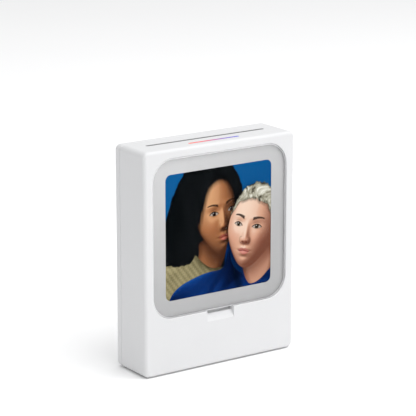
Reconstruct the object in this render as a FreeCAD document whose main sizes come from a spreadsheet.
"""Digital photo frame with a square display, a lift-off front window and a store for paper prints.

Units and frame: millimetres, +Z up, the window faces -Y, and the origin is the middle of the footprint.
Every size is a cell of the spreadsheet "Sheet". Sketch sizes and feature lengths are bound to its aliases.
Each sub-part is one PartDesign body, or a Part::Feature where a bent strip or wire needs a path.
"""

import FreeCAD, Part

import math
import os
import re

import Sketcher
from FreeCAD import Placement, Rotation, Vector

doc = FreeCAD.newDocument("photo_frame")

# ------------------------------------------------------------------------------------------------
# Driving dimensions
# ------------------------------------------------------------------------------------------------

SIZES = {
    "case": {
        "body_width": 114.6,
        "body_top": 145.0,
        "body_depth": 33.6,
        "corner_radius": 3.6,
        "edge_round": 2.2,
        "side_wall": 2.2,
        "front_wall": 2.2,
        "foot_height": 0.6,
        "cover_depth": 6.0,
        "seam_gap": 0.2,
        "seam_chamfer": 0.25,
        "pill_relief": 0.05,
    },
    "window": {
        "recess_size": 102.6,
        "recess_radius": 15.0,
        "recess_mid": 88.0,
        "recess_depth": 2.3,
        "recess_edge": 0.4,
        "ledge_thick": 2.0,
        "tub_wall": 1.8,
        "window_gap": 0.2,
        "lens_setback": 0.45,
        "lens_thick": 1.45,
        "lens_chamfer": 0.6,
        "mask_gap": 0.04,
        "mask_thick": 0.2,
        "mask_margin": 0.3,
        "picture_size": 81.0,
        "picture_radius": 4.0,
        "magnet_radius": 2.5,
        "magnet_thick": 1.0,
        "magnet_x": 47.2,
        "magnet_rise": 38.0,
        "keeper_thick": 0.8,
        "disc_clear": 0.1,
        "magnet_clear": 0.3,
        "keeper_boss_radius": 3.7,
        "keeper_boss_height": 1.0,
    },
    "finger scoop": {
        "scoop_width": 20.6,
        "scoop_bottom": 29.6,
        "scoop_pocket_width": 19.8,
        "scoop_pocket_bottom": 34.2,
        "scoop_ramp_depth": 2.4,
        "scoop_depth": 5.4,
        "scoop_under": 0.9,
        "scoop_wall": 1.6,
    },
    "top face": {
        "slot_length": 90.0,
        "slot_width": 2.6,
        "slot_y": 0.0,
        "bar_length": 38.4,
        "bar_width": 2.1,
        "bar_y": -9.0,
        "bar_clear": 0.05,
        "bar_flange_length": 42.0,
        "bar_flange_width": 3.4,
        "bar_flange_thick": 1.2,
    },
    "right side": {
        "port_z": 96.0,
        "port_length": 8.94,
        "port_height": 3.16,
        "port_depth": 7.6,
        "port_inset": 1.1,
        "port_clear": 0.17,
        "port_shell": 0.3,
        "port_back": 1.2,
        "port_tongue_length": 6.2,
        "port_tongue_thick": 0.7,
        "port_tongue_inset": 0.9,
        "button_z": 118.0,
        "button_y": -4.1,
        "button_length": 10.0,
        "button_width": 3.0,
        "button_clear": 0.15,
        "button_inset": 0.1,
        "button_dish": 0.2,
        "flange_length": 13.0,
        "flange_thick": 0.7,
        "flange_clear": 0.1,
        "grip_length": 18.0,
        "grip_z": 60.0,
        "grip_depth": 1.2,
        "grip_reach": 1.4,
    },
    "display": {
        "opening_width": 86.0,
        "opening_low": 44.5,
        "opening_high": 136.3,
        "opening_radius": 0.4,
        "panel_width": 84.6,
        "panel_low": 45.3,
        "panel_high": 134.3,
        "panel_thick": 1.5,
        "panel_clear": 0.15,
        "gasket_wall": 0.6,
        "gasket_height": 1.3,
        "diffuser_thick": 0.2,
        "guide_thick": 2.0,
        "guide_margin": 0.5,
        "tray_thick": 0.4,
        "tray_margin": 0.4,
        "sheet_height": 84.0,
        "sheet_low": 46.0,
    },
    "carrier": {
        "carrier_thick": 1.6,
        "carrier_width": 92.0,
        "carrier_low": 43.0,
        "carrier_high": 134.0,
        "carrier_radius": 3.0,
        "carrier_hole_width": 60.0,
        "carrier_hole_low": 90.0,
        "carrier_hole_high": 122.0,
        "ear_radius": 3.6,
        "ear_x": 47.5,
        "ear_low": 60.0,
        "ear_high": 114.0,
        "ear_boss_radius": 2.6,
        "standoff_radius": 2.4,
        "standoff_height": 1.5,
    },
    "main board": {
        "board_left": -36.0,
        "board_right": 54.7,
        "board_low": 84.0,
        "board_high": 126.0,
        "board_thick": 1.2,
        "board_radius": 1.5,
        "board_screw_left": -32.5,
        "board_screw_right": 38.0,
        "board_screw_low": 87.6,
        "board_screw_high": 122.4,
        "can_size": 22.0,
        "can_height": 1.8,
        "can_x": -12.0,
        "can_z": 106.0,
        "can_wall": 0.25,
        "chip_size": 14.0,
        "chip_height": 1.2,
        "radio_width": 13.0,
        "radio_length": 16.0,
        "radio_height": 2.0,
        "radio_x": 27.0,
        "radio_z": 104.0,
        "small_chip_size": 6.0,
        "small_chip_height": 0.9,
        "small_chip_x": 9.0,
        "small_chip_low": 92.0,
        "small_chip_high": 102.0,
        "flex_socket_length": 20.0,
        "flex_socket_width": 4.0,
        "flex_socket_height": 1.3,
        "flex_socket_z": 121.0,
        "lead_socket_length": 7.0,
        "lead_socket_width": 4.5,
        "lead_socket_height": 2.4,
        "lead_socket_x": -18.0,
        "lead_socket_z": 87.5,
        "bar_socket_x": 22.0,
    },
    "power switch": {
        "switch_left": 48.4,
        "switch_right": 52.2,
        "switch_width": 6.0,
        "plunger_width": 2.6,
        "plunger_height": 1.4,
        "plunger_depth": 1.4,
        "plunger_clear": 0.06,
        "plunger_gap": 0.02,
        "switch_travel": 0.4,
    },
    "battery": {
        "battery_width": 85.0,
        "battery_low": 24.0,
        "battery_high": 76.0,
        "battery_thick": 4.8,
        "battery_round": 2.2,
        "tape_thick": 0.2,
        "tape_low": 45.0,
        "tape_high": 74.0,
        "tape_width": 60.0,
        "lead_radius": 0.6,
        "lead_pitch": 2.4,
        "lead_drop": 3.0,
        "lead_bend": 2.0,
    },
    "light board": {
        "light_board_length": 62.0,
        "light_board_width": 6.0,
        "light_board_thick": 1.0,
        "light_board_z": 137.9,
        "light_screw_x": 27.5,
        "led_count": 5,
        "led_pitch": 8.0,
        "led_size": 3.0,
        "led_height": 1.2,
        "bracket_width": 6.0,
        "bracket_thick": 2.0,
        "bracket_back": -5.6,
        "light_flex_width": 5.0,
    },
    "ribbons": {
        "ribbon_width": 18.0,
        "ribbon_thick": 0.2,
        "ribbon_top": 135.4,
        "ribbon_bend": 0.8,
        "ribbon_lift": 0.25,
        "ribbon_start": 0.75,
        "notch_spare": 1.0,
        "light_ribbon_lift": 0.6,
    },
    "inner cover": {
        "inner_cover_back": -1.1,
        "inner_cover_thick": 1.2,
        "inner_cover_clear": 0.2,
        "shelf_z": 31.3,
        "shelf_thick": 1.5,
        "guide_wall": 1.5,
        "guide_inner": 45.2,
        "guide_top": 137.0,
        "guide_back": 8.4,
    },
    "fastening": {
        "post_x": 50.0,
        "post_low": 8.4,
        "post_high": 137.6,
        "post_radius": 4.6,
        "post_short": 0.3,
        "post_notch": 0.25,
        "disc_radius": 3.0,
        "disc_thick": 2.0,
        "boss_radius": 3.0,
        "boss_x": 50.4,
        "boss_low": 24.0,
        "boss_mid": 76.0,
        "boss_top": 129.3,
        "insert_radius": 1.7,
        "insert_bore": 1.0,
        "insert_length": 4.0,
        "screw_radius": 1.0,
        "screw_hole": 1.2,
        "head_radius": 1.9,
        "head_height": 1.1,
        "drive_width": 0.5,
        "drive_length": 2.0,
        "drive_depth": 0.6,
        "inner_screw_length": 4.6,
        "carrier_screw_length": 3.6,
        "board_screw_length": 2.4,
        "light_screw_length": 2.6,
        "pilot_extra": 0.3,
        "shank_clear": 0.02,
    },
    "rear cover": {
        "cover_wall": 2.2,
        "lip_height": 1.8,
        "lip_wall": 1.1,
        "lip_clear": 0.3,
        "lip_radius": 1.3,
        "lip_post_gap": 0.5,
        "label_width": 46.0,
        "label_height": 22.0,
        "label_depth": 0.25,
        "label_radius": 2.0,
        "label_z": 30.0,
    },
    "feet": {
        "foot_length": 94.0,
        "foot_width": 5.0,
        "foot_sunk": 0.7,
        "foot_front": -11.2,
        "foot_rear": 6.2,
        "foot_clear": 0.1,
    },
}


def make_sheet():
    """Writes every size to its own cell, as text, with the alias that the expressions use."""
    sheet = doc.addObject("Spreadsheet::Sheet", "Sheet")
    row = 0
    for section, values in SIZES.items():
        row += 1
        sheet.set(f"A{row}", section)
        for alias, value in values.items():
            row += 1
            sheet.set(f"A{row}", alias.replace("_", " "))
            sheet.set(f"B{row}", str(value))
            sheet.setAlias(f"B{row}", alias)
    doc.recompute()
    return sheet


sheet = make_sheet()

# Planes and levels that several sub-parts share, as expressions of the cells. Depths run along Y.
FRONT = "(0 - body_depth / 2)"
BACK = "(body_depth / 2)"
SEAM = "(body_depth / 2 - cover_depth)"
COVER_FRONT = f"({SEAM} + seam_gap)"
BODY_LOW = "(foot_height)"
BODY_HEIGHT = "(body_top - foot_height)"
BODY_MID = "((body_top + foot_height) / 2)"
INNER_WIDTH = "(body_width - 2 * side_wall)"
INNER_HEIGHT = f"({BODY_HEIGHT} - 2 * side_wall)"
INNER_RADIUS = "(corner_radius - side_wall)"
INNER_TOP = "(body_top - side_wall)"
INNER_RIGHT = "(body_width / 2 - side_wall)"
FRONT_INNER = f"({FRONT} + front_wall)"
LEDGE = f"({FRONT} + recess_depth)"
LEDGE_BACK = f"({LEDGE} + ledge_thick)"
LENS_FRONT = f"({FRONT} + lens_setback)"
LENS_BACK = f"({LENS_FRONT} + lens_thick)"
MASK_FRONT = f"({LENS_BACK} + mask_gap)"
MASK_BACK = f"({MASK_FRONT} + mask_thick)"
MAGNET_BACK = f"({MASK_BACK} + magnet_thick)"
KEEPER_FRONT = f"({MAGNET_BACK} + disc_clear)"
KEEPER_BACK = f"({KEEPER_FRONT} + keeper_thick)"
PANEL_FRONT = f"({MASK_BACK} + panel_clear)"
PANEL_BACK = f"({PANEL_FRONT} + panel_thick)"
DIFFUSER_BACK = f"({PANEL_BACK} + diffuser_thick)"
GUIDE_BACK = f"({DIFFUSER_BACK} + guide_thick)"
TRAY_BACK = f"({GUIDE_BACK} + tray_thick)"
CARRIER_BACK = f"({TRAY_BACK} + carrier_thick)"
BOARD_FRONT = f"({CARRIER_BACK} + standoff_height)"
BOARD_BACK = f"({BOARD_FRONT} + board_thick)"
BATTERY_FRONT = f"({CARRIER_BACK} + tape_thick)"
BATTERY_BACK = f"({BATTERY_FRONT} + battery_thick)"
INNER_COVER_FRONT = "(inner_cover_back - inner_cover_thick)"
PANEL_MID = "((panel_low + panel_high) / 2)"
PANEL_HEIGHT = "(panel_high - panel_low)"
OPENING_MID = "((opening_low + opening_high) / 2)"
OPENING_HEIGHT = "(opening_high - opening_low)"
PORT_Y = f"({BOARD_BACK} + port_height / 2)"
PORT_MOUTH = "(body_width / 2 - port_inset)"
BUTTON_FACE = "(body_width / 2 - button_inset)"
BUTTON_BACK = f"({INNER_RIGHT} - flange_clear - flange_thick)"
LIGHT_BOARD_TOP = "(light_board_z + light_board_thick)"
IN_COVER_WALL = f"({BACK} - cover_wall / 2)"

CASE_POSTS = [(x, z) for x in ("0 - post_x", "post_x") for z in ("post_low", "post_high")]
WINDOW_DISCS = [
    (x, z)
    for x in ("0 - magnet_x", "magnet_x")
    for z in ("recess_mid - magnet_rise", "recess_mid + magnet_rise")
]
CARRIER_EARS = [(x, z) for x in ("0 - ear_x", "ear_x") for z in ("ear_low", "ear_high")]
INNER_COVER_SCREWS = [
    (x, z) for x in ("0 - boss_x", "boss_x") for z in ("boss_low", "boss_mid", "boss_top")
]
BOARD_SCREWS = [
    (x, z)
    for x in ("board_screw_left", "board_screw_right")
    for z in ("board_screw_low", "board_screw_high")
]
LIGHT_SCREWS = [("(0 - light_screw_x)", "bar_y"), ("light_screw_x", "bar_y")]

# ------------------------------------------------------------------------------------------------
# Sketch and feature helpers
# ------------------------------------------------------------------------------------------------


def cells(text):
    """Turns "body_width / 2" into "Sheet.body_width / 2"."""
    return re.sub(r"[a-z][a-z_]*", r"Sheet.\g<0>", str(text))


def value(text):
    """The number that an expression of the cells gives."""
    found = sheet.evalExpression(cells(text))
    return float(getattr(found, "Value", found))


def bind(target, path, text):
    target.setExpression(path, cells(text))


def constrain(sketch, text, kind, *where):
    """Adds a driving dimension and binds it to an expression of the cells."""
    index = sketch.addConstraint(Sketcher.Constraint(kind, *where, value(text)))
    bind(sketch, f"Constraints[{index}]", text)


def place(sketch, geometry, point, across, up):
    """Ties one point of a geometry to its distances from the sketch's origin."""
    for kind, text in (("DistanceX", across), ("DistanceY", up)):
        constrain(sketch, text, kind, -1, 1, geometry, point)


def circle(sketch, radius, across, up):
    centre = Vector(value(across), value(up), 0)
    index = sketch.addGeometry(Part.Circle(centre, Vector(0, 0, 1), value(radius)), False)
    constrain(sketch, radius, "Radius", index)
    place(sketch, index, 3, across, up)


def polygon(sketch, corners):
    """A closed outline of straight lines through corners, each tied to the sketch's origin."""
    points = [Vector(value(across), value(up), 0) for across, up in corners]
    lines = [
        sketch.addGeometry(Part.LineSegment(a, b), False)
        for a, b in zip(points, points[1:] + points[:1])
    ]
    for line, following in zip(lines, lines[1:] + lines[:1]):
        sketch.addConstraint(Sketcher.Constraint("Coincident", line, 2, following, 1))
    for line, (across, up) in zip(lines, corners):
        place(sketch, line, 1, across, up)


def rectangle(sketch, width, height, across="0", up="0"):
    left, right = f"{across} - {width} / 2", f"{across} + {width} / 2"
    low, high = f"{up} - {height} / 2", f"{up} + {height} / 2"
    polygon(sketch, [(left, low), (right, low), (right, high), (left, high)])


def rounded_rectangle(sketch, width, height, radius, across="0", up="0"):
    """Four lines joined by four tangent quarter circles, centred on (across, up)."""
    x, y = value(across), value(up)
    half_x, half_y, r = value(width) / 2, value(height) / 2, value(radius)
    quarter = math.pi / 2
    centres = [(-1, -1), (1, -1), (1, 1), (-1, 1)]
    arcs = []
    for turn, (sx, sy) in enumerate(centres):
        centre = Vector(x + sx * (half_x - r), y + sy * (half_y - r), 0)
        round_corner = Part.Circle(centre, Vector(0, 0, 1), r)
        start = (turn + 2) * quarter
        arcs.append(
            sketch.addGeometry(Part.ArcOfCircle(round_corner, start, start + quarter), False)
        )
    lines = []
    for arc, following in zip(arcs, arcs[1:] + arcs[:1]):
        begin = sketch.getPoint(arc, 2)
        end = sketch.getPoint(following, 1)
        line = sketch.addGeometry(Part.LineSegment(begin, end), False)
        sketch.addConstraint(Sketcher.Constraint("Tangent", arc, 2, line, 1))
        sketch.addConstraint(Sketcher.Constraint("Tangent", line, 2, following, 1))
        lines.append(line)
    for arc in arcs[1:]:
        sketch.addConstraint(Sketcher.Constraint("Equal", arcs[0], arc))
    for line, way in zip(lines, ("Horizontal", "Vertical", "Horizontal", "Vertical")):
        sketch.addConstraint(Sketcher.Constraint(way, line))
    constrain(sketch, radius, "Radius", arcs[0])
    place(sketch, lines[0], 1, f"{across} - {width} / 2 + {radius}", f"{up} - {height} / 2")
    place(sketch, lines[2], 1, f"{across} + {width} / 2 - {radius}", f"{up} + {height} / 2")


PLANES = {"front": ("XZ_Plane", -1), "top": ("XY_Plane", 1), "side": ("YZ_Plane", 1)}


def make_body(name):
    body = doc.addObject("PartDesign::Body", name)
    body.Label = name
    return body


def slab(body, name, plane, start, end, draw, cut=False):
    """Pads or pockets what draw puts in a sketch, from level start to level end along the plane's axis.

    plane is "front" (levels along Y), "top" (along Z) or "side" (along X), and start is below end.
    """
    role, facing = PLANES[plane]
    origin_plane = next(o for o in body.Origin.OriginFeatures if o.Role == role)
    sketch = body.newObject("Sketcher::SketchObject", f"{name}_sketch")
    sketch.AttachmentSupport = [(origin_plane, "")]
    sketch.MapMode = "FlatFace"
    sketch.AttachmentOffset = Placement(Vector(0, 0, facing * value(start)), Rotation())
    bind(sketch, "AttachmentOffset.Base.z", f"{facing} * {start}")
    draw(sketch)
    before = body.Shape.Volume if body.Tip else 0.0
    feature = body.newObject("PartDesign::Pocket" if cut else "PartDesign::Pad", name)
    feature.Profile = sketch
    bind(feature, "Length", f"{end} - {start}")
    feature.Reversed = (facing < 0) != cut
    doc.recompute()
    change = feature.Shape.Volume - before
    if change * (-1 if cut else 1) <= 0:
        raise RuntimeError(f"{body.Label}: {name} changed the volume by {change:.3f}")
    return feature


def dress(body, name, kind, size, chosen):
    """Rounds ("Fillet") or bevels ("Chamfer") the edges of the body's tip for which chosen is true."""
    tip = body.Tip
    edges = [f"Edge{n}" for n, edge in enumerate(tip.Shape.Edges, 1) if chosen(edge)]
    if not edges:
        raise RuntimeError(f"{body.Label}: {name} found no edge")
    feature = body.newObject(f"PartDesign::{kind}", name)
    feature.Base = (tip, edges)
    path = "Radius" if kind == "Fillet" else "Size"
    setattr(feature, path, value(size))
    bind(feature, path, size)
    doc.recompute()
    if not feature.isValid() or feature.Shape.isNull():
        raise RuntimeError(f"{body.Label}: {name} could not be made")
    return feature


def flat_at(axis, level):
    """A test for edges that lie wholly in the plane where axis ("x", "y" or "z") is at level."""
    at = value(level)

    def chosen(edge):
        box = edge.BoundBox
        low, high = getattr(box, f"{axis.upper()}Min"), getattr(box, f"{axis.upper()}Max")
        return abs(low - at) < 1e-4 and abs(high - at) < 1e-4

    return chosen


def within(edge, half_x, low_z, high_z):
    """True if an edge lies within x = -half_x to half_x and between two heights."""
    box = edge.BoundBox
    slack = 1e-3
    inside_x = max(abs(box.XMin), abs(box.XMax)) < value(half_x) + slack
    return inside_x and box.ZMin > value(low_z) - slack and box.ZMax < value(high_z) + slack


def circles(radius, centres):
    """A drawing of equal circles."""

    def draw(sketch):
        for across, up in centres:
            circle(sketch, radius, across, up)

    return draw


def block(width, height, across="0", up="0"):
    return lambda sketch: rectangle(sketch, width, height, across, up)


def rounded(width, height, radius, across="0", up="0"):
    return lambda sketch: rounded_rectangle(sketch, width, height, radius, across, up)


def outline(corners):
    return lambda sketch: polygon(sketch, corners)


def several(*drawings):
    """One drawing that holds all of these."""

    def draw(sketch):
        for drawing in drawings:
            drawing(sketch)

    return draw


def rectangles(width, height, centres):
    """A drawing of equal rectangles."""
    return several(*[block(width, height, across, up) for across, up in centres])


def simple_piece(name, plane, start, end, draw):
    """A body that is one pad."""
    body = make_body(name)
    slab(body, f"{name}_pad", plane, start, end, draw)
    return body


# ------------------------------------------------------------------------------------------------
# Case: front shell, rear cover, feet
# ------------------------------------------------------------------------------------------------


def front_shell():
    """The moulded case: front wall with the window recess, and the four sides back to the seam."""
    body = make_body("front_shell")
    slab(
        body, "shell_block", "front", FRONT, SEAM,
        rounded("body_width", BODY_HEIGHT, "corner_radius", up=BODY_MID),
    )
    dress(body, "front_edge_round", "Fillet", "edge_round", flat_at("y", FRONT))
    dress(body, "seam_edge_bevel", "Chamfer", "seam_chamfer", flat_at("y", SEAM))
    slab(
        body, "case_hollow", "front", FRONT_INNER, SEAM,
        rounded(INNER_WIDTH, INNER_HEIGHT, INNER_RADIUS, up=BODY_MID), cut=True,
    )
    shell_mountings(body)
    window_recess(body)
    finger_scoop(body)
    shell_bores(body)
    shell_openings(body)
    return body


def shell_mountings(body):
    """Tub behind the recess, corner posts, screw bosses and the light board's brackets."""
    root = f"({FRONT_INNER} - front_wall / 2)"
    tub_size = "(recess_size + 2 * tub_wall)"
    slab(
        body, "recess_tub", "front", root, LEDGE_BACK,
        rounded(tub_size, tub_size, "(recess_radius + tub_wall)", up="recess_mid"),
    )
    scoop_top = "(recess_mid - recess_size / 2)"
    slab(
        body, "scoop_backing", "front", root, f"({FRONT} + scoop_depth + scoop_wall)",
        block(
            "(scoop_width + 2 * scoop_wall)", f"({scoop_top} - scoop_bottom + 2 * scoop_wall)",
            up=f"(({scoop_top} + scoop_bottom) / 2)",
        ),
    )
    slab(
        body, "corner_posts", "front", root, f"({SEAM} - post_short)",
        circles("post_radius", CASE_POSTS),
    )
    slab(
        body, "screw_bosses", "front", root, f"({INNER_COVER_FRONT} - disc_clear)",
        circles("boss_radius", INNER_COVER_SCREWS),
    )
    in_ledge = f"({LEDGE_BACK} - ledge_thick / 2)"
    slab(
        body, "carrier_bosses", "front", in_ledge, TRAY_BACK,
        circles("ear_boss_radius", CARRIER_EARS),
    )
    slab(
        body, "keeper_bosses", "front", in_ledge, f"({LEDGE_BACK} + keeper_boss_height)",
        circles("keeper_boss_radius", WINDOW_DISCS),
    )
    bracket_mid = "(light_board_z - bracket_thick / 2)"
    bracket_places = [(across, bracket_mid) for across, _ in LIGHT_SCREWS]
    slab(
        body, "light_brackets", "front", root, "bracket_back",
        rectangles("bracket_width", "bracket_thick", bracket_places),
    )


def window_recess(body):
    """The square recess with the display opening in its floor."""
    slab(
        body, "recess", "front", FRONT, LEDGE,
        rounded("recess_size", "recess_size", "recess_radius", up="recess_mid"), cut=True,
    )
    slab(
        body, "display_opening", "front", LEDGE, f"({LEDGE_BACK} + keeper_boss_height)",
        rounded("opening_width", OPENING_HEIGHT, "opening_radius", up=OPENING_MID), cut=True,
    )


def finger_scoop(body):
    """A scoop below the window: a ramp, and at its top a deeper pocket under the window's edge."""
    recess_bottom = "(recess_mid - recess_size / 2)"
    top = f"({recess_bottom} + scoop_under)"
    scoop = body.newObject("PartDesign::SubtractiveWedge", "finger_scoop")
    corners = {
        "Xmin": "(0 - scoop_width / 2)",
        "Xmax": "(scoop_width / 2)",
        "Ymin": FRONT,
        "Ymax": f"({FRONT} + scoop_ramp_depth)",
        "Zmin": "scoop_bottom",
        "Zmax": top,
        "X2min": "(0 - scoop_pocket_width / 2)",
        "X2max": "(scoop_pocket_width / 2)",
        "Z2min": "scoop_pocket_bottom",
        "Z2max": top,
    }
    for path, text in corners.items():
        bind(scoop, path, text)
    doc.recompute()
    slab(
        body, "scoop_pocket", "front", FRONT, f"({FRONT} + scoop_depth)",
        block(
            "scoop_pocket_width", f"({top} - scoop_pocket_bottom)",
            up=f"(({top} + scoop_pocket_bottom) / 2)",
        ),
        cut=True,
    )
    in_front_face = flat_at("y", FRONT)

    def recess_rim(edge):
        recess_top = "(recess_mid + recess_size / 2)"
        return in_front_face(edge) and within(edge, "(recess_size / 2)", recess_bottom, recess_top)

    dress(body, "recess_edge_round", "Fillet", "recess_edge", recess_rim)


def shell_bores(body):
    """Pockets for the steel discs, inserts and screws."""
    slab(
        body, "window_disc_pockets", "front", LEDGE, f"({KEEPER_BACK} + disc_clear)",
        circles("(magnet_radius + magnet_clear)", WINDOW_DISCS), cut=True,
    )
    post_face = f"({SEAM} - post_short)"
    slab(
        body, "cover_disc_pockets", "front", f"({post_face} - disc_thick)", post_face,
        circles("disc_radius", CASE_POSTS), cut=True,
    )
    boss_face = f"({INNER_COVER_FRONT} - disc_clear)"
    slab(
        body, "insert_pockets", "front", f"({boss_face} - inner_screw_length)", boss_face,
        circles("insert_radius", INNER_COVER_SCREWS), cut=True,
    )
    slab(
        body, "carrier_pilots", "front", f"({CARRIER_BACK} - carrier_screw_length - pilot_extra)",
        TRAY_BACK, circles("screw_radius", CARRIER_EARS), cut=True,
    )
    slab(
        body, "light_pilots", "top", "(light_board_z - bracket_thick)", "light_board_z",
        circles("screw_radius", LIGHT_SCREWS), cut=True,
    )


def shell_openings(body):
    """Print slot, light bar opening, port, button, cover grip and the seats of the feet."""
    slab(
        body, "print_slot", "top", f"({INNER_TOP} - side_wall)", "body_top",
        rounded("slot_length", "slot_width", "(slot_width / 2 - pill_relief)", up="slot_y"), cut=True,
    )
    slab(
        body, "light_bar_opening", "top", f"({INNER_TOP} - side_wall)", "body_top",
        rounded("bar_length", "bar_width", "(bar_width / 2 - pill_relief)", up="bar_y"), cut=True,
    )
    slab(
        body, "port_opening", "side", f"({INNER_RIGHT} - port_inset)", "(body_width / 2)",
        rounded(
            "(port_height + 2 * port_clear)", "(port_length + 2 * port_clear)",
            "(port_height / 2)", PORT_Y, "port_z",
        ),
        cut=True,
    )
    slab(
        body, "button_opening", "side", f"({INNER_RIGHT} - port_inset)", "(body_width / 2)",
        rounded(
            "button_width", "button_length", "(button_width / 2 - pill_relief)", "button_y", "button_z"
        ),
        cut=True,
    )
    slab(
        body, "cover_grip", "side", "(body_width / 2 - grip_depth)", "(body_width / 2)",
        rounded("(2 * grip_reach)", "grip_length", "(grip_reach - pill_relief)", SEAM, "grip_z"),
        cut=True,
    )
    seat_top = f"({BODY_LOW} + foot_sunk)"
    slab(body, "foot_seats", "top", BODY_LOW, seat_top, foot_outlines("0"), cut=True)


def foot_outlines(clearance):
    width = f"(foot_width - 2 * {clearance})"
    length = f"(foot_length - 2 * {clearance})"
    radius = f"(foot_width / 2 - pill_relief - {clearance})"
    return several(
        rounded(length, width, radius, up="foot_front"),
        rounded(length, width, radius, up="foot_rear"),
    )


def rear_cover():
    """The shallow back tray. Its lip enters the shell and is open above the print store."""
    body = make_body("rear_cover")
    slab(
        body, "cover_block", "front", COVER_FRONT, BACK,
        rounded("body_width", BODY_HEIGHT, "corner_radius", up=BODY_MID),
    )
    dress(body, "rear_edge_round", "Fillet", "edge_round", flat_at("y", BACK))
    dress(body, "cover_edge_bevel", "Chamfer", "seam_chamfer", flat_at("y", COVER_FRONT))
    inner_back = f"({BACK} - cover_wall)"
    slab(
        body, "cover_hollow", "front", COVER_FRONT, inner_back,
        rounded(INNER_WIDTH, INNER_HEIGHT, INNER_RADIUS, up=BODY_MID), cut=True,
    )
    lip_width = f"({INNER_WIDTH} - 2 * lip_clear)"
    lip_height = f"({INNER_HEIGHT} - 2 * lip_clear)"
    slab(
        body, "cover_lip", "front", f"({COVER_FRONT} - lip_height)", inner_back,
        rounded(lip_width, lip_height, "lip_radius", up=BODY_MID),
    )
    slab(
        body, "lip_hollow", "front", f"({COVER_FRONT} - lip_height)", inner_back,
        rounded(
            f"({lip_width} - 2 * lip_wall)", f"({lip_height} - 2 * lip_wall)",
            "(lip_radius - lip_wall)", up=BODY_MID,
        ),
        cut=True,
    )
    slab(
        body, "lip_post_gaps", "front", f"({COVER_FRONT} - lip_height)", COVER_FRONT,
        circles("(post_radius + lip_post_gap)", CASE_POSTS), cut=True,
    )
    slab(
        body, "lip_store_gap", "front", f"({COVER_FRONT} - lip_height)", inner_back,
        block("slot_length", "(lip_wall + lip_clear)", up=f"({INNER_TOP} - lip_clear - lip_wall / 2)"),
        cut=True,
    )
    slab(body, "magnet_bosses", "front", COVER_FRONT, IN_COVER_WALL, circles("post_radius", CASE_POSTS))
    slab(
        body, "magnet_pockets", "front", COVER_FRONT, f"({COVER_FRONT} + disc_thick)",
        circles("disc_radius", CASE_POSTS), cut=True,
    )
    slab(
        body, "label_recess", "front", f"({BACK} - label_depth)", BACK,
        rounded("label_width", "label_height", "label_radius", up="label_z"), cut=True,
    )
    return body


def rubber_feet():
    body = make_body("rubber_feet")
    slab(body, "foot_strips", "top", "0", f"({BODY_LOW} + foot_sunk)", foot_outlines("foot_clear"))
    return body


# ------------------------------------------------------------------------------------------------
# Lift-off window
# ------------------------------------------------------------------------------------------------


def window_lens():
    """The clear cover that lifts out of the recess."""
    body = make_body("window_lens")
    size = "(recess_size - 2 * window_gap)"
    slab(
        body, "lens_plate", "front", LENS_FRONT, LENS_BACK,
        rounded(size, size, "(recess_radius - window_gap)", up="recess_mid"),
    )
    dress(body, "lens_bevel", "Chamfer", "lens_chamfer", flat_at("y", LENS_FRONT))
    return body


def border_mask():
    """The grey printed border behind the lens, open where the picture shows."""
    size = "(recess_size - 2 * window_gap - 2 * mask_margin)"
    return simple_piece(
        "border_mask", "front", MASK_FRONT, MASK_BACK,
        several(
            rounded(size, size, "(recess_radius - window_gap - mask_margin)", up="recess_mid"),
            rounded("picture_size", "picture_size", "picture_radius", up="recess_mid"),
        ),
    )


def window_hardware():
    """Magnets bonded behind the border, and the steel discs in the case that they hold to."""
    discs = circles("magnet_radius", WINDOW_DISCS)
    simple_piece("window_magnets", "front", MASK_BACK, MAGNET_BACK, discs)
    simple_piece("window_keepers", "front", KEEPER_FRONT, KEEPER_BACK, discs)


def cover_hardware():
    """Magnets in the rear cover, and the steel discs in the case posts that they hold to."""
    post_face = f"({SEAM} - post_short)"
    disc = "(disc_radius - disc_clear)"
    simple_piece(
        "cover_keepers", "front", f"({post_face} - disc_thick + disc_clear)", post_face,
        circles(disc, CASE_POSTS),
    )
    simple_piece(
        "cover_magnets", "front", COVER_FRONT, f"({COVER_FRONT} + disc_thick - disc_clear)",
        circles(disc, CASE_POSTS),
    )


# ------------------------------------------------------------------------------------------------
# Display
# ------------------------------------------------------------------------------------------------


def display_stack():
    """Gasket, panel, diffuser, light guide and the steel tray that holds them."""
    panel_outline = block("panel_width", PANEL_HEIGHT, up=PANEL_MID)
    simple_piece("lcd_panel", "front", PANEL_FRONT, PANEL_BACK, panel_outline)
    gasket_back = f"({PANEL_FRONT} + gasket_height)"
    gasket = simple_piece(
        "display_gasket", "front", PANEL_FRONT, gasket_back,
        several(
            block("(panel_width + 2 * gasket_wall)", f"({PANEL_HEIGHT} + 2 * gasket_wall)", up=PANEL_MID),
            panel_outline,
        ),
    )
    slab(
        gasket, "ribbon_notch", "front", f"({PANEL_FRONT} + ribbon_start - ribbon_thick)", gasket_back,
        block("(ribbon_width + notch_spare)", "(2 * gasket_wall)", up="(panel_high + gasket_wall)"), cut=True,
    )
    sheet_mid = "(sheet_low + sheet_height / 2)"
    sheet = block("(panel_width - 2 * guide_margin)", "sheet_height", up=sheet_mid)
    simple_piece("diffuser_sheet", "front", PANEL_BACK, DIFFUSER_BACK, sheet)
    simple_piece("light_guide", "front", DIFFUSER_BACK, GUIDE_BACK, sheet)
    tray = make_body("backlight_tray")
    slab(tray, "tray_block", "front", PANEL_BACK, TRAY_BACK, panel_outline)
    slab(
        tray, "tray_hollow", "front", PANEL_BACK, GUIDE_BACK,
        block("(panel_width - 2 * tray_margin)", f"({PANEL_HEIGHT} - 2 * tray_margin)", up=PANEL_MID),
        cut=True,
    )


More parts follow.
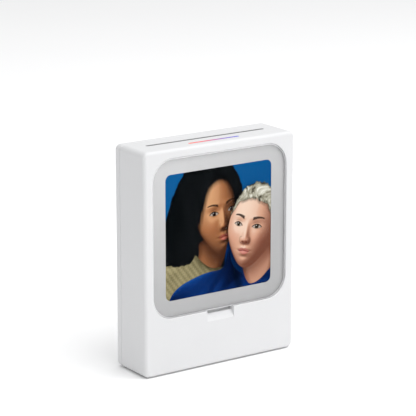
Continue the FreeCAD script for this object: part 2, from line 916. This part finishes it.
def display_carrier():
    """The moulded plate that clamps the display and carries the main board and the battery."""
    body = make_body("display_carrier")
    carrier_mid = "((carrier_low + carrier_high) / 2)"
    slab(
        body, "carrier_plate", "front", TRAY_BACK, CARRIER_BACK,
        rounded("carrier_width", "(carrier_high - carrier_low)", "carrier_radius", up=carrier_mid),
    )
    slab(body, "carrier_ears", "front", TRAY_BACK, CARRIER_BACK, circles("ear_radius", CARRIER_EARS))
    slab(
        body, "board_standoffs", "front", f"({CARRIER_BACK} - carrier_thick / 2)", BOARD_FRONT,
        circles("standoff_radius", BOARD_SCREWS),
    )
    hole_mid = "((carrier_hole_low + carrier_hole_high) / 2)"
    slab(
        body, "carrier_window", "front", TRAY_BACK, CARRIER_BACK,
        rounded(
            "carrier_hole_width", "(carrier_hole_high - carrier_hole_low)", "carrier_radius", up=hole_mid
        ),
        cut=True,
    )
    ear_holes = circles("screw_hole", CARRIER_EARS)
    slab(body, "ear_holes", "front", TRAY_BACK, CARRIER_BACK, ear_holes, cut=True)
    pilots = circles("screw_radius", BOARD_SCREWS)
    slab(body, "standoff_pilots", "front", TRAY_BACK, BOARD_FRONT, pilots, cut=True)
    return body


# ------------------------------------------------------------------------------------------------
# Electronics
# ------------------------------------------------------------------------------------------------


def main_board():
    body = make_body("main_board")
    width, height = "(board_right - board_left)", "(board_high - board_low)"
    across, up = "((board_left + board_right) / 2)", "((board_low + board_high) / 2)"
    plate = rounded(width, height, "board_radius", across, up)
    slab(body, "board_plate", "front", BOARD_FRONT, BOARD_BACK, plate)
    holes = circles("screw_hole", BOARD_SCREWS)
    slab(body, "board_holes", "front", BOARD_FRONT, BOARD_BACK, holes, cut=True)
    return body


def board_components():
    """What is soldered to the back of the main board."""
    can_top = f"({BOARD_BACK} + can_height)"
    can = make_body("shield_can")
    slab(can, "can_block", "front", BOARD_BACK, can_top, block("can_size", "can_size", "can_x", "can_z"))
    inside = "(can_size - 2 * can_wall)"
    slab(
        can, "can_hollow", "front", BOARD_BACK, f"({can_top} - can_wall)",
        block(inside, inside, "can_x", "can_z"), cut=True,
    )
    simple_piece(
        "processor_chip", "front", BOARD_BACK, f"({BOARD_BACK} + chip_height)",
        block("chip_size", "chip_size", "can_x", "can_z"),
    )
    simple_piece(
        "radio_module", "front", BOARD_BACK, f"({BOARD_BACK} + radio_height)",
        block("radio_width", "radio_length", "radio_x", "radio_z"),
    )
    simple_piece(
        "board_chips", "front", BOARD_BACK, f"({BOARD_BACK} + small_chip_height)",
        rectangles(
            "small_chip_size", "small_chip_size",
            [("small_chip_x", "small_chip_low"), ("small_chip_x", "small_chip_high")],
        ),
    )
    simple_piece(
        "ribbon_sockets", "front", BOARD_BACK, f"({BOARD_BACK} + flex_socket_height)",
        several(
            block("flex_socket_length", "flex_socket_width", up="flex_socket_z"),
            block("lead_socket_length", "flex_socket_width", "bar_socket_x", "flex_socket_z"),
        ),
    )
    simple_piece(
        "battery_socket", "front", BOARD_BACK, f"({BOARD_BACK} + lead_socket_height)",
        block("lead_socket_length", "lead_socket_width", "lead_socket_x", "lead_socket_z"),
    )


def charging_port():
    """The steel shell of the reversible charging socket, and the tongue with its contacts."""
    length, height = "port_length", "port_height"
    radius = "(port_height / 2 - pill_relief)"
    inner = "(port_height / 2 - pill_relief - port_shell)"
    back = f"({PORT_MOUTH} - port_depth)"
    body = make_body("charging_port")
    slab(body, "port_shell", "side", back, PORT_MOUTH, rounded(height, length, radius, PORT_Y, "port_z"))
    mouth_height, mouth_length = "(port_height - 2 * port_shell)", "(port_length - 2 * port_shell)"
    slab(
        body, "port_mouth", "side", f"({back} + port_back)", PORT_MOUTH,
        rounded(mouth_height, mouth_length, inner, PORT_Y, "port_z"), cut=True,
    )
    simple_piece(
        "port_tongue", "side", f"({back} + port_back)", f"({PORT_MOUTH} - port_tongue_inset)",
        block("port_tongue_thick", "port_tongue_length", PORT_Y, "port_z"),
    )


def power_button():
    """The pill-shaped key with a flange that keeps it in the wall, and a shallow finger dish."""
    body = make_body("power_button")
    width, length = "(button_width - 2 * button_clear)", "(button_length - 2 * button_clear)"
    slab(
        body, "button_cap", "side", BUTTON_BACK, BUTTON_FACE,
        rounded(width, length, "(button_width / 2 - button_clear - pill_relief)", "button_y", "button_z"),
    )
    slab(
        body, "button_flange", "side", BUTTON_BACK, f"({BUTTON_BACK} + flange_thick)",
        block(width, "flange_length", "button_y", "button_z"),
    )
    slab(
        body, "button_dish", "side", f"({BUTTON_FACE} - button_dish)", BUTTON_FACE,
        rounded(
            "(button_width / 2)", "(button_length / 2)", "(button_width / 4 - pill_relief)",
            "button_y", "button_z",
        ),
        cut=True,
    )
    return body


def power_switch():
    """The side-acting switch on the board, and the plunger that the button pushes."""
    high = "(button_y + button_width / 2)"
    mid, deep = f"(({BOARD_BACK} + {high}) / 2)", f"({high} - {BOARD_BACK})"
    body = make_body("power_switch")
    switch_outline = block(deep, "switch_width", mid, "button_z")
    slab(body, "switch_block", "side", "switch_left", "switch_right", switch_outline)
    well_height, well_width = "(plunger_height + 2 * plunger_clear)", "(plunger_width + 2 * plunger_clear)"
    slab(
        body, "plunger_well", "side", "(switch_right - plunger_depth - switch_travel)", "switch_right",
        block(well_height, well_width, "button_y", "button_z"), cut=True,
    )
    simple_piece(
        "switch_plunger", "side", "(switch_right - plunger_depth + switch_travel / 2)",
        f"({BUTTON_BACK} - plunger_gap)",
        block("plunger_height", "plunger_width", "button_y", "button_z"),
    )


def battery():
    """The pouch cell and the tape that holds it to the carrier."""
    mid = "((battery_low + battery_high) / 2)"
    body = make_body("battery_pack")
    slab(
        body, "pouch", "front", BATTERY_FRONT, BATTERY_BACK,
        rounded("battery_width", "(battery_high - battery_low)", "battery_round", up=mid),
    )
    dress(body, "pouch_round", "Fillet", "(battery_round / 2)", flat_at("y", BATTERY_BACK))
    simple_piece(
        "battery_tape", "front", CARRIER_BACK, BATTERY_FRONT,
        block("tape_width", "(tape_high - tape_low)", up="((tape_low + tape_high) / 2)"),
    )


def light_bar():
    """The light pipe in the top face, and the small board of lamps under it."""
    body = make_body("light_bar")
    length, width = "(bar_length - 2 * bar_clear)", "(bar_width - 2 * bar_clear)"
    slab(
        body, "bar_blade", "top", f"({INNER_TOP} - bar_flange_thick)", "body_top",
        rounded(length, width, "(bar_width / 2 - bar_clear - pill_relief)", up="bar_y"),
    )
    slab(
        body, "bar_flange", "top", f"({INNER_TOP} - bar_flange_thick)", INNER_TOP,
        block("bar_flange_length", "bar_flange_width", up="bar_y"),
    )
    board = make_body("light_board")
    slab(
        board, "light_board_plate", "top", "light_board_z", LIGHT_BOARD_TOP,
        block("light_board_length", "light_board_width", up="bar_y"),
    )
    slab(
        board, "light_board_holes", "top", "light_board_z", LIGHT_BOARD_TOP,
        circles("screw_hole", LIGHT_SCREWS), cut=True,
    )
    numbers = range(int(value("led_count")))
    lamp_places = [(f"(({n} - (led_count - 1) / 2) * led_pitch)", "bar_y") for n in numbers]
    simple_piece(
        "lamps", "top", LIGHT_BOARD_TOP, f"({LIGHT_BOARD_TOP} + led_height)",
        rectangles("led_size", "led_size", lamp_places),
    )


# ------------------------------------------------------------------------------------------------
# Ribbons and leads, which follow bent paths
# ------------------------------------------------------------------------------------------------


def bent_path(points, radius):
    """A wire of straight runs through points, with each corner rounded by a tangent arc."""
    edges, last = [], points[0]
    for before, corner, after in zip(points, points[1:], points[2:]):
        into, out = (corner - before).normalize(), (after - corner).normalize()
        half = into.getAngle(out) / 2
        reach = radius * math.tan(half)
        start, end = corner - into * reach, corner + out * reach
        bulge = (out - into).normalize()
        to_centre = radius / math.cos(half)
        middle = corner + bulge * (to_centre - radius)
        edges += [Part.LineSegment(last, start).toShape(), Part.Arc(start, middle, end).toShape()]
        last = end
    edges.append(Part.LineSegment(last, points[-1]).toShape())
    return Part.Wire(edges)


def feature(name, shape):
    made = doc.addObject("Part::Feature", name)
    made.Label = name
    made.Shape = shape
    return made


def ribbon(name, points, width, across):
    """A flat ribbon: its side profile follows points in the YZ plane and is extruded along X."""
    path = bent_path([Vector(0, value(y), value(z)) for y, z in points], value("ribbon_bend"))
    profile = path.makeOffset2D(value("ribbon_thick"), 0, True, True, False)
    solid = profile.extrude(Vector(value(width), 0, 0))
    solid.translate(Vector(value(across) - value(width) / 2, 0, 0))
    return feature(name, solid)


def ribbons():
    """The display's ribbon over the top of the carrier, and the light board's ribbon."""
    leaves_panel = f"({PANEL_FRONT} + ribbon_start)"
    behind_board = f"({BOARD_BACK} + ribbon_lift + ribbon_thick)"
    into_socket = "(flex_socket_z + flex_socket_width / 2)"
    ribbon(
        "display_ribbon",
        [
            (leaves_panel, "panel_high"),
            (leaves_panel, "ribbon_top"),
            (behind_board, "ribbon_top"),
            (behind_board, into_socket),
        ],
        "ribbon_width", "0",
    )
    off_board = "(bar_y + light_board_width / 2)"
    light_level = "(light_board_z + light_board_thick / 2)"
    light_drop = f"({behind_board} + light_ribbon_lift)"
    ribbon(
        "light_ribbon",
        [(off_board, light_level), (light_drop, light_level), (light_drop, into_socket)],
        "light_flex_width", "bar_socket_x",
    )


def battery_leads():
    """Two wires from the top of the pack to the socket on the board."""
    start_y = f"({BATTERY_FRONT} + battery_thick / 2)"
    end_y = f"({BOARD_BACK} + lead_socket_height / 2)"
    top, end_z = "battery_high", "(lead_socket_z - lead_socket_width / 2)"
    wires = []
    for side in (-1, 1):
        x = f"(lead_socket_x + {side} * lead_pitch / 2)"
        route = [
            (x, start_y, top),
            (x, start_y, f"({top} + lead_drop)"),
            (x, end_y, f"({end_z} - lead_drop / 2)"),
            (x, end_y, end_z),
        ]
        path = bent_path([Vector(*map(value, point)) for point in route], value("lead_bend"))
        first = path.Edges[0]
        section = Part.Wire(Part.makeCircle(value("lead_radius"), first.valueAt(0), Vector(0, 0, 1)))
        wires.append(path.makePipeShell([section], True, True))
    return feature("battery_leads", Part.makeCompound(wires))


# ------------------------------------------------------------------------------------------------
# Inner cover and fasteners
# ------------------------------------------------------------------------------------------------


def inner_cover():
    """The wall between the electronics and the print store, with the store's shelf and side guides."""
    body = make_body("inner_cover")
    slab(
        body, "partition", "front", INNER_COVER_FRONT, "inner_cover_back",
        rounded(
            f"({INNER_WIDTH} - 2 * inner_cover_clear)", f"({INNER_HEIGHT} - 2 * inner_cover_clear)",
            INNER_RADIUS, up=BODY_MID,
        ),
    )
    in_wall = "(inner_cover_back - inner_cover_thick / 2)"
    outer = "(guide_inner + guide_wall)"
    low = "(shelf_z - shelf_thick)"
    slab(
        body, "store_walls", "front", in_wall, "guide_back",
        outline([
            (f"(0 - {outer})", low),
            (outer, low),
            (outer, "guide_top"),
            ("guide_inner", "guide_top"),
            ("guide_inner", "shelf_z"),
            ("(0 - guide_inner)", "shelf_z"),
            ("(0 - guide_inner)", "guide_top"),
            (f"(0 - {outer})", "guide_top"),
        ]),
    )
    slab(
        body, "post_notches", "front", INNER_COVER_FRONT, "guide_back",
        circles("(post_radius + post_notch)", CASE_POSTS), cut=True,
    )
    slab(
        body, "screw_holes", "front", INNER_COVER_FRONT, "inner_cover_back",
        circles("screw_hole", INNER_COVER_SCREWS), cut=True,
    )
    return body


def screws(name, plane, seat, length, centres):
    """Pan-head screws with a cross drive: heads on level seat, shanks down the plane's axis."""
    body = make_body(name)
    top = f"({seat} + head_height)"
    drive = f"({top} - drive_depth)"
    shanks = circles("(screw_radius - shank_clear)", centres)
    slots = rectangles("drive_length", "drive_width", centres)
    cross_slots = rectangles("drive_width", "drive_length", centres)
    slab(body, f"{name}_heads", plane, seat, top, circles("head_radius", centres))
    slab(body, f"{name}_shanks", plane, f"({seat} - {length})", top, shanks)
    slab(body, f"{name}_slots", plane, drive, top, slots, cut=True)
    slab(body, f"{name}_cross_slots", plane, drive, top, cross_slots, cut=True)
    return body


def fasteners():
    """Brass inserts in the bosses, and every screw."""
    boss_face = f"({INNER_COVER_FRONT} - disc_clear)"
    simple_piece(
        "threaded_inserts", "front", f"({boss_face} - insert_length)", boss_face,
        several(
            circles("insert_radius", INNER_COVER_SCREWS), circles("insert_bore", INNER_COVER_SCREWS)
        ),
    )
    screws("inner_cover_screws", "front", "inner_cover_back", "inner_screw_length", INNER_COVER_SCREWS)
    screws("carrier_screws", "front", CARRIER_BACK, "carrier_screw_length", CARRIER_EARS)
    screws("board_screws", "front", BOARD_BACK, "board_screw_length", BOARD_SCREWS)
    screws("light_board_screws", "top", LIGHT_BOARD_TOP, "light_screw_length", LIGHT_SCREWS)


# ------------------------------------------------------------------------------------------------
# Build and export
# ------------------------------------------------------------------------------------------------


def build():
    front_shell()
    rear_cover()
    rubber_feet()
    window_lens()
    border_mask()
    window_hardware()
    cover_hardware()
    display_stack()
    display_carrier()
    main_board()
    board_components()
    charging_port()
    power_button()
    power_switch()
    battery()
    light_bar()
    ribbons()
    battery_leads()
    inner_cover()
    fasteners()
    doc.recompute()


def check_document():
    """Stops if any object failed to recompute."""
    for item in doc.Objects:
        if "Invalid" in item.State or "Error" in item.State:
            raise RuntimeError(f"{item.Label} is {item.State}")


def export():
    os.makedirs("parts", exist_ok=True)
    plain = [o for o in doc.Objects if o.TypeId == "Part::Feature"]
    for piece in doc.findObjects("PartDesign::Body") + plain:
        shape = piece.Shape
        if shape.isNull() or not shape.isValid():
            raise RuntimeError(f"{piece.Label} has no valid shape")
        shape.exportStep(f"parts/{piece.Label}.step")
        print(f"{piece.Label}: {len(shape.Solids)} solids, {shape.Volume:.1f} mm3")


build()
check_document()
export()
